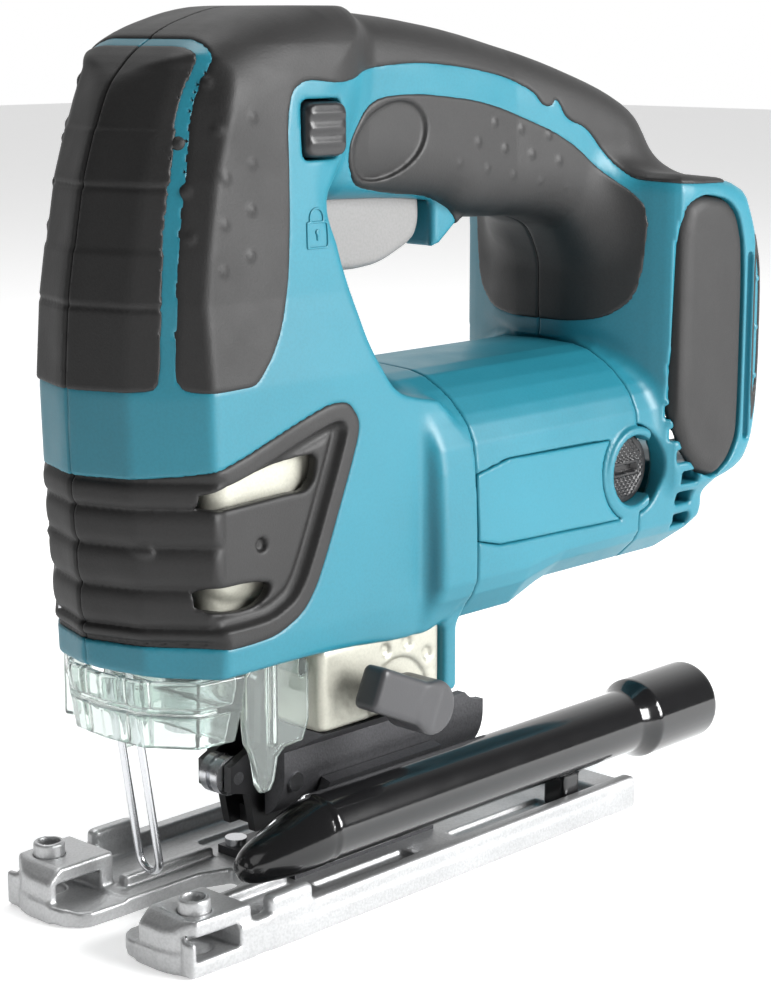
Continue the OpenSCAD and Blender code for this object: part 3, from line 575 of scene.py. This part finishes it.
def motor_housing_field(x, y, z):
    """The tube between the two seams, with a rim round each brush cap."""
    outer = motor_form(x, y, z)
    side = np.abs(y)
    form = smax(outer, slab(x, *MOTOR_ENDS), 0.6)
    form = smax(form, -tube(y, z, 0, CAP_Z, 22.2), 0.4)
    rim = smax(tube(x, z, CAP_X, CAP_Z, 10.9), side - 32.9, 0.8)
    form = smin(form, smax(rim, 18 - side, 0.5), 0.6)
    form = smax(form, -smax(tube(x, z, CAP_X, CAP_Z, 8.8), -side + 16, 0.3), 0.6)
    # thin lines round the name plate
    return smax(form, -smax(smax(plate_zone(x, z) - 0.3, -(outer + 1.3), 0.2), 20 - side, 0.3), 0.25)


def plate_zone(x, z):
    """Where the name plate lies, seen from the side."""
    zone = smax(outline(x, z, PLATE), -tube(x, z, CAP_X, CAP_Z, 12.6), 0.4)
    return smax(zone, slab(x, MOTOR_ENDS[0] + 0.4, CAP_X), 0.3)


def name_plate_field(x, y, z):
    """A plain plate, set in the motor housing."""
    outer = motor_form(x, y, z)
    form = smax(smax(outer, plate_zone(x, z), 0.3), -(outer + 1.25), 0.2)
    return smax(form, y + 20, 0.3)


shaped_pair("shell", shell_field, (-35, -37, 42), (169, 0.5, 202),
            COARSE, "housing", TEAL, "housing")
shaped_pair("front_pad", front_pad_field, (-36, -30, 120), (-6, 0.5, 200),
            MEDIUM, "housing", RUBBER, "front_pad")
shaped_pair("grip", grip_field, (-24, -37, 120), (162, 0.5, 202),
            MEDIUM, "housing", RUBBER, "grip")
shaped_pair("inlay", inlay_field, (26, -36, 118), (130, 0.5, 186),
            MEDIUM, "housing", RUBBER_PAINTED_LIGHTER, "handle_inlay")
shaped_pair("vent_cover", vent_cover_field, (-36, -31, 64), (30, 0.5, 120),
            MEDIUM, "housing", RUBBER, "vent_cover")
shaped_pair("rail_strip", strip_field, (160, -38, 98), (167, -30, 141),
            FINE, "housing", TEAL, "housing")
shaped_pair("bumper", bumper_field, (124, -38, 78), (168, 0.5, 158),
            MEDIUM, "housing", RUBBER, "rear_bumper")
shaped_pair("name_plate", name_plate_field, (58, -35, 74), (122, -18, 99),
            MEDIUM, "housing", TEAL_PLATE, "name_plate")
shaped("motor_tube", motor_housing_field, (58, -35, 56), (122, 35, 120),
       COARSE, "housing", TEAL, ["motor_housing"])


def lock_mark_field(x, y, z):
    """A plain lock sign, raised a little, under the lock button."""
    outer = body_form(x, y, z)
    line = 0.22
    case = np.abs(plate_2d(x - 14.6, z - 152.4, 3.0, 2.7, 0.6)) - line
    shackle = smax(np.abs(tube(x, z, 14.4, 156.0, 2.0)) - line, 155.2 - z, 0.2)
    legs = smax(np.abs(np.abs(x - 14.4) - 2.0) - line, slab(z, 154.8, 156.2), 0.2)
    keyhole = np.minimum(tube(x, z, 14.6, 153.0, 0.6),
                         smax(np.abs(x - 14.6) - 0.25, slab(z, 151.2, 153), 0.1))
    mark = np.minimum(np.minimum(case, keyhole), np.minimum(shackle, legs))
    form = smax(smax(outer - 0.3, mark, 0.15), -(outer + 0.6), 0.1)
    return smax(form, 15 - np.abs(y), 0.1)


MARK_STEP = 0.2
shaped("lock_mark", lock_mark_field, (10, -27.5, 149), (19, -22, 160),
       MARK_STEP, "housing", TEAL, ["housing_left"])

# ---------------------------------------------------------------- trigger and lock button

def trigger_field(x, y, z):
    """The trigger, hollow inside."""
    side_view = rounded([(28.2, 163), (28.2, 157), (29.4, 149.5), (32.5, 143.6), (38, 141.4), (46, 141.2),
                         (54, 142), (65, 146.6), (67, 151), (66.6, 158), (60, 163)])
    form = smax(outline(x, z, side_view), np.abs(y) - 7.5, 2.4)
    return smax(form, -brick(x, y, z, (42, -5.5, 150), (63, 5.5, 162.4), 0.5), 0.4)


shaped("trigger_key", trigger_field, (26, -10, 139), (69, 10, 165),
       FINE, "trigger_body", TRIGGER, ["trigger"])


def lock_field(x, y, z):
    """The button that slides across the housing."""
    form = brick(x, y, z, lock_low, lock_high, 2.6)
    # three shallow ridges across each face
    ridges = 0.5 * np.abs(np.sin(math.pi * (z - lock_low[2]) / 3.1))
    return smax(form, np.maximum(y - lock_high[1], lock_low[1] - y) + ridges, 0.4)


shaped("lock_slide_button", lock_field, lock_low, lock_high,
       FINE, "lock_body", BLACK, ["lock_button"])

# ---------------------------------------------------------------- brush caps with a diamond pattern
def brush_cap(name, way):
    """A cap with its driver slot; way is -1 on the left and 1 on the right."""
    ring, rings, radius = 96, 34, 8.5
    face, slot_floor, back = 28.8, 27.8, 26.2
    turns = [2 * math.pi * j / ring for j in range(ring)]
    points = [(CAP_X, way * slot_floor, CAP_Z)]
    for i in range(1, rings + 1):
        r = radius * i / rings
        for t in turns:
            u, v = r * math.cos(t), r * math.sin(t)
            # a diamond pattern between the slot's frame and the edge
            relief = 0.55 * (abs(math.sin(1.9 * (u + v))) * abs(math.sin(1.9 * (u - v))))
            if abs(u) < 4.3 and abs(v) < 1.0:
                relief = slot_floor - face
            elif abs(u) < 5.2 and abs(v) < 1.9:
                relief = 0.7
            elif r > 7.4:
                relief = 0.2
            points.append((CAP_X + u, way * (face + relief), CAP_Z + v))
    points += [(CAP_X + radius * math.cos(t), way * back, CAP_Z + radius * math.sin(t)) for t in turns]
    # each ring is joined to the next one, the last of them being the back edge
    faces = []
    for j in range(ring):
        after = (j + 1) % ring
        faces.append((0, 1 + j, 1 + after))
        for i in range(rings):
            a, b = 1 + i * ring, 1 + (i + 1) * ring
            faces.append((a + j, b + j, b + after, a + after))
    faces.append(tuple(1 + rings * ring + j for j in reversed(range(ring))))
    if way > 0:
        faces = [tuple(reversed(f)) for f in faces]
    return piece(name, points, faces, "housing", BLACK, ["brush_caps"])


brush_cap("brush_cap_l", -1)
brush_cap("brush_cap_r", 1)

# ---------------------------------------------------------------- gear housing, lever and clear covers
lever_at = pivot("orbit_select")
LEVER_X, LEVER_Z = lever_at[0], lever_at[2]
# Dimples on a circle round the lever
DETENT = [(LEVER_X + 12.9 * math.cos(math.radians(a)), LEVER_Z + 12.9 * math.sin(math.radians(a)))
          for a in (110, 78, 43)]


def gear_case_field(x, y, z):
    """The casting in the nose and the plate that carries the lever."""
    side = np.abs(y)
    form = brick(x, side, z, (15, -30, gear_low[2]), (gear_high[0], 26, 62), 2.2)
    form = smin(form, brick(x, side, z, (-14, -21.3, 66), (23, 21.3, 90), 6), 2)
    form = np.minimum(form, brick(x, side, z, (-14, -23, 74), (23, 23, 134), 7))
    # room for the clamp sleeve at the top of the stroke
    form = smax(form, -smax(np.hypot(x, y) - 9, z - 86, 0.4), 0.5)
    form = smin(form, brick(x, side, z, (15, -20, 56), (23, 20, 84), 2), 3)
    form = smax(form, -smax(tube(x, z, LEVER_X, LEVER_Z, 9.6), 25.1 - side, 0.4), 0.5)
    for u, v in DETENT:
        form = smax(form, -smax(tube(x, z, u, v, 1.5), 25.2 - side, 0.4), 0.4)
    # two framed marks, a ring and a group of three bars, for the lever's end positions
    for u in (22.5, 50.2):
        frame_line = np.abs(smax(slab(x, u - 2.5, u + 2.5), slab(z, 43.4, 50), 0.6)) - 0.22
        form = smax(form, -smax(frame_line, 25.55 - side, 0.2), 0.2)
    ring = np.abs(np.sqrt(((x - 22.5) / 1.25) ** 2 + ((z - 46.7) / 2.1) ** 2) - 1) - 0.16
    bars = smax(np.abs(np.abs(np.abs(x - 50.2) - 0.6) - 0.6) - 0.18, slab(z, 44.8, 48.6), 0.2)
    form = smax(form, -smax(np.minimum(ring, bars), 25.55 - side, 0.2), 0.2)
    form = smax(form, -tube(x, y, 0, 0, 6.6), 0.3)
    form = smax(form, -brick(x, y, z, (-12, -21, 89), (18.4, 21, 131.5), 1), 0.4)
    form = smax(form, -brick(x, y, z, (17, -22, 40), (50.5, 22, 57), 1), 0.4)
    return smax(form, -brick(x, y, z, (12, -6.6, 30), (28, 6.6, 57), 1), 0.4)


shaped("gear_case", gear_case_field, (-16, -28, 40), (56, 28, 136),
       COARSE, "housing", CREAM, ["gear_housing"])


def lever_field(x, y, z):
    """A round hub and a paddle."""
    hub = smax(tube(x, z, LEVER_X, LEVER_Z, 6.3), slab(y, -37.6, -26.5), 1.2)
    tilt = math.radians(156)
    along = (x - LEVER_X) * math.cos(tilt) + (z - LEVER_Z) * math.sin(tilt)
    across = -(x - LEVER_X) * math.sin(tilt) + (z - LEVER_Z) * math.cos(tilt)
    paddle = smax(smax(slab(along, 0, 20.4), np.abs(across) - 5.0, 1.6), slab(y, -37.8, -30.8), 1.6)
    return smin(hub, paddle, 1.2)


shaped("mode_lever", lever_field, (16, -39, 37), (48, -25, 60),
       FINE, "lever_body", LEVER, ["orbit_lever"])


def opener_field(x, y, z):
    """Clear shield round the front, with a ledge, ribs and its hinge pin."""
    slope = 1.9 * np.clip((58 - z) / 14, 0, 1)
    plan = np.array([(-27, 0), (-25.8, -12), (-18, -23), (-6, -24.5), (-6, 40), (-18, 40), (-18, 22),
                     (-26, 11)], float)
    outer = outline(x, y, plan) + slope
    wall = smax(outer, -(outer + 1.7), 0.3)
    wall = smax(wall, smax(slab(z, 45.2, 60.4), x + 6.1, 0.5), 0.8)
    wall = smax(wall, y - 20.5, 0.5)
    ledge_zone = smax(slab(z, 52.6, 53.8), smax(x + 6.1, y - 16, 0.3), 0.3)
    ledge = smax(smax(outer, -(outer + 4.2), 0.3), ledge_zone, 0.4)
    ribs = np.minimum.reduce([stick(x, y, z, (-24.2 + 0.5 * abs(v), v * 4.6, 46.5),
                                    (-25 + 0.5 * abs(v), v * 4.6, 59.5), 1.0) for v in (-2.6, -1.3, 1.3)])
    pin = smax(tube(x, y, *pivot("opener_swing")[:2], 2.2), slab(z, 45, 60.5), 0.4)
    return smin(smin(smin(wall, ledge, 0.6), smax(ribs, outer, 0.2), 0.6), pin, 0.8)


shaped("front_opener", opener_field, opener_low - 0.5, opener_high + 0.5,
       FINE, "opener_body", CLEAR, ["tool_opener"])


def cover_field(x, y, z):
    """Clear cover on both sides of the blade, joined by a bar."""
    side = np.abs(y)
    leg = rounded([(-5.8, 63), (-5.8, 45), (-3.4, 41), (-1.8, 32.2), (2.4, 32.2), (4.4, 41), (13.5, 41.5),
                   (13.5, 63)], 1)
    plate = smax(outline(x, z, leg), slab(side, 21.85, 23.75), 0.7)
    ridge = smax(smax(slab(x, 2.4, 4.2), slab(z, 42, 62.4), 0.6), slab(side, 20.6, 23), 0.5)
    bar = brick(x, side, z, (11.6, -30, 56), (13.5, 23, 60), 0.6)
    return smin(smin(plate, ridge, 0.8), bar, 0.8)


shaped("side_cover", cover_field, cover_low - (2, 0, 0), cover_high,
       FINE, "cover_body", CLEAR, ["dust_cover"])

# ---------------------------------------------------------------- base and nozzle
base_low, base_high = mm_box("base_plate")
insert_low, insert_high = mm_box("base_inserts")
BOSS_X, BOSS_Y = (insert_low[0] + insert_high[0]) / 2, insert_high[1] - 3.6


def base_field(x, y, z):
    """The base plate: floor, rails, nose blocks, bosses and pockets."""
    side = np.abs(y)
    edge = base_high[1]
    # plan of one half: the nose narrows and the inside edge makes the blade slot
    plan = rounded([(base_low[0] + 4.5, edge), (base_high[0] - 2, edge), (base_high[0], edge - 2),
                    (base_high[0], -9), (14, -9), (14, 6), (-24, 6), (base_low[0] + 3, 7.5),
                    (base_low[0], 12), (base_low[0], edge - 7)], 1)
    floor = smax(outline(x, side, plan), slab(z, 0, 4), 0.7)
    rail = brick(x, side, z, (base_low[0] + 1, edge - 3.6, 0), (base_high[0], edge, 7.9), 0.9)
    form = smin(floor, rail, 1.0)
    nose = smax(outline(x, side, plan), brick(x, side, z, (base_low[0], 15, 0), (-11, edge, 12), 1), 0.8)
    nose = smax(nose, (z - 12.4 + 0.9 * np.maximum(0, -26 - x)) / 1.35, 1)
    form = smin(form, nose, 1.4)
    form = smin(form, brick(x, side, z, (-6, edge - 3.5, 0), (7, edge, 11.9), 1.6), 1)
    form = smin(form, brick(x, side, z, (-11, 11, 0), (16, 14, 6.8), 1), 1)
    form = smin(form, brick(x, side, z, (112, -30, 0), (base_high[0], edge, 6.4), 1.4), 1)
    form = smax(form, -brick(x, side, z, (-27.5, -9, 3.5), (-15, 60, 8.3), 0.7), 0.6)
    form = smax(form, -smax(tube(x, side, BOSS_X, BOSS_Y, 3.6), -z - 1, 0.1), 0.3)
    form = smax(form, -brick(x, side, z, (30, -9, -2), (52, 8, 6), 1), 0.5)
    # shallow pockets in the floor
    for u, length in ((20, 30), (66, 34)):
        form = smax(form, -brick(x, side, z, (u, 17, 2.6), (u + length, 22, 9), 1.2), 0.5)
    return form


shaped("sole_base", base_field, base_low, base_high,
       MEDIUM, "base_body", ALUMINIUM, ["base_plate"])


def collars_field(x, y, z):
    """The threaded collars for the fence screws."""
    side = np.abs(y)
    form = smax(tube(x, side, BOSS_X, BOSS_Y, 3.55), slab(z, insert_low[2], insert_high[2]), 0.8)
    thread = 2.5 + 0.12 * np.sin(2 * math.pi * z / 0.9)
    return smax(form, -tube(x, side, BOSS_X, BOSS_Y, thread), 0.2)


shaped("collars", collars_field, insert_low, insert_high,
       FINE, "base_body", ALUMINIUM, ["base_inserts"])
nozzle_low, nozzle_high = mm_box("dust_nozzle")
port = next(m for m in frame["record"]["mounts"] if m["name"] == "hose_port")
PIPE_Y, PIPE_Z = port["pos_m"][1] / MM, port["pos_m"][2] / MM
PORT_R = port["dims"]["r_mm"]
PIPE_R = 8


def nozzle_field(x, y, z):
    """The suction pipe, from the hose collar to the nose beside the blade."""
    pipe = smax(tube(y, z, PIPE_Y, PIPE_Z, PIPE_R), slab(x, 9, 130), 0.5)
    neck = tube(y, z, PIPE_Y, PIPE_Z, np.interp(x, [124, 128.4], [PIPE_R, 10.2]))
    collar = smax(neck, slab(x, 124, nozzle_high[0]), 0.9)
    # the nose bends down and in, towards the blade, and tapers off
    along = np.clip((15 - x) / 17, 0, 1)
    nose = tube(y, z, PIPE_Y + 6.5 * along ** 1.5, PIPE_Z - 6.6 * along ** 1.3, PIPE_R - 4.2 * along ** 1.6)
    nose = smax(smax(nose, slab(x, nozzle_low[0] + 0.6, 16), 4), 9.1 - z, 1)
    form = smin(smin(smax(pipe, 14 - x, 0.5), collar, 1), nose, 0.8)
    bore = smax(tube(y, z, PIPE_Y, PIPE_Z, 6.4), slab(x, 14, 160), 3)
    bore = np.minimum(bore, smax(tube(y, z, PIPE_Y, PIPE_Z, PORT_R), 134 - x, 0.5))
    bore = smin(bore, stick(x, y, z, (16, PIPE_Y, PIPE_Z), (5, PIPE_Y + 4.5, PIPE_Z - 4), 4), 2)
    bore = np.minimum(bore, stick(x, y, z, (5, PIPE_Y + 4.5, PIPE_Z - 4), (4, -10, 13), 3.2))
    form = smax(form, -bore, 0.5)
    seat = brick(x, y, z, (98, PIPE_Y - 2.9, 4), (104, PIPE_Y + 4, 14.4), 1)
    return smin(form, seat, 1)


shaped("suction_pipe", nozzle_field, nozzle_low, nozzle_high,
       MEDIUM, "base_body", GLOSS, ["dust_nozzle"])

# ---------------------------------------------------------------- floor, light and camera
def floor():
    """A pale floor that gives off a little light of its own."""
    points = [(-4000, -4000, -0.2), (4000, -4000, -0.2), (4000, 4000, -0.2), (-4000, 4000, -0.2)]
    mesh = bpy.data.meshes.new("floor")
    mesh.from_pydata([tuple(c * MM for c in p) for p in points], [], [(0, 1, 2, 3)])
    pale = material("pale_floor", (0.93, 0.93, 0.93), 0.8, spread=0.01, bump=0.0)
    shader = pale.node_tree.nodes["Principled BSDF"]
    shader.inputs["Emission Color"].default_value = (1, 1, 1, 1)
    shader.inputs["Emission Strength"].default_value = 0.42
    mesh.materials.append(pale)
    obj = bpy.data.objects.new("floor", mesh)
    bpy.context.scene.collection.objects.link(obj)


def lamp(name, place, aim, size, power):
    """A square lamp of the given size in metres, aimed at a point."""
    data = bpy.data.lights.new(name, "AREA")
    data.size = size
    data.energy = power
    obj = bpy.data.objects.new(name, data)
    obj.location = place
    obj.rotation_euler = (Vector(aim) - Vector(place)).to_track_quat("-Z", "Y").to_euler()
    bpy.context.scene.collection.objects.link(obj)


floor()
lamp("key_light", (0.55, -1.15, 0.55), (0.06, 0, 0.1), 0.7, 34)
lamp("front_light", (-1.1, -0.1, 0.4), (0.0, 0, 0.1), 0.5, 0.8)
lamp("top_light", (0.1, 0.35, 1.2), (0.05, 0, 0.1), 0.7, 6)
world = bpy.data.worlds.new("studio")
world.use_nodes = True
sky, wires = world.node_tree.nodes, world.node_tree.links
# brightness goes by direction: full behind the tool, as seen from the camera, and low in front of it
facing = sky.new("ShaderNodeVectorMath")
facing.operation = "DOT_PRODUCT"
facing.inputs[1].default_value = (0.72, 0.69, 0.0)
wires.new(sky.new("ShaderNodeTexCoord").outputs["Generated"], facing.inputs[0])
fade = sky.new("ShaderNodeMapRange")
fade.interpolation_type = "SMOOTHSTEP"
for socket, value in (("From Min", 0.2), ("From Max", 0.85), ("To Min", 0.12), ("To Max", 1.0)):
    fade.inputs[socket].default_value = value
wires.new(facing.outputs["Value"], fade.inputs["Value"])
wires.new(fade.outputs["Result"], sky["Background"].inputs["Strength"])
sky["Background"].inputs["Color"].default_value = (1, 1, 1, 1)
bpy.context.scene.world = world
bpy.context.scene.view_settings.view_transform = "Standard"

camera_data = bpy.data.cameras.new("camera")
camera_data.sensor_fit = "HORIZONTAL"
camera_data.sensor_width = 36
camera_data.lens = 107.1
camera = bpy.data.objects.new("camera", camera_data)
camera.location = (-0.32665, -0.36957, 0.197)
camera.rotation_euler = (math.radians(90 - 11.67), 0, math.radians(-46.5))
bpy.context.scene.collection.objects.link(camera)
bpy.context.scene.camera = camera
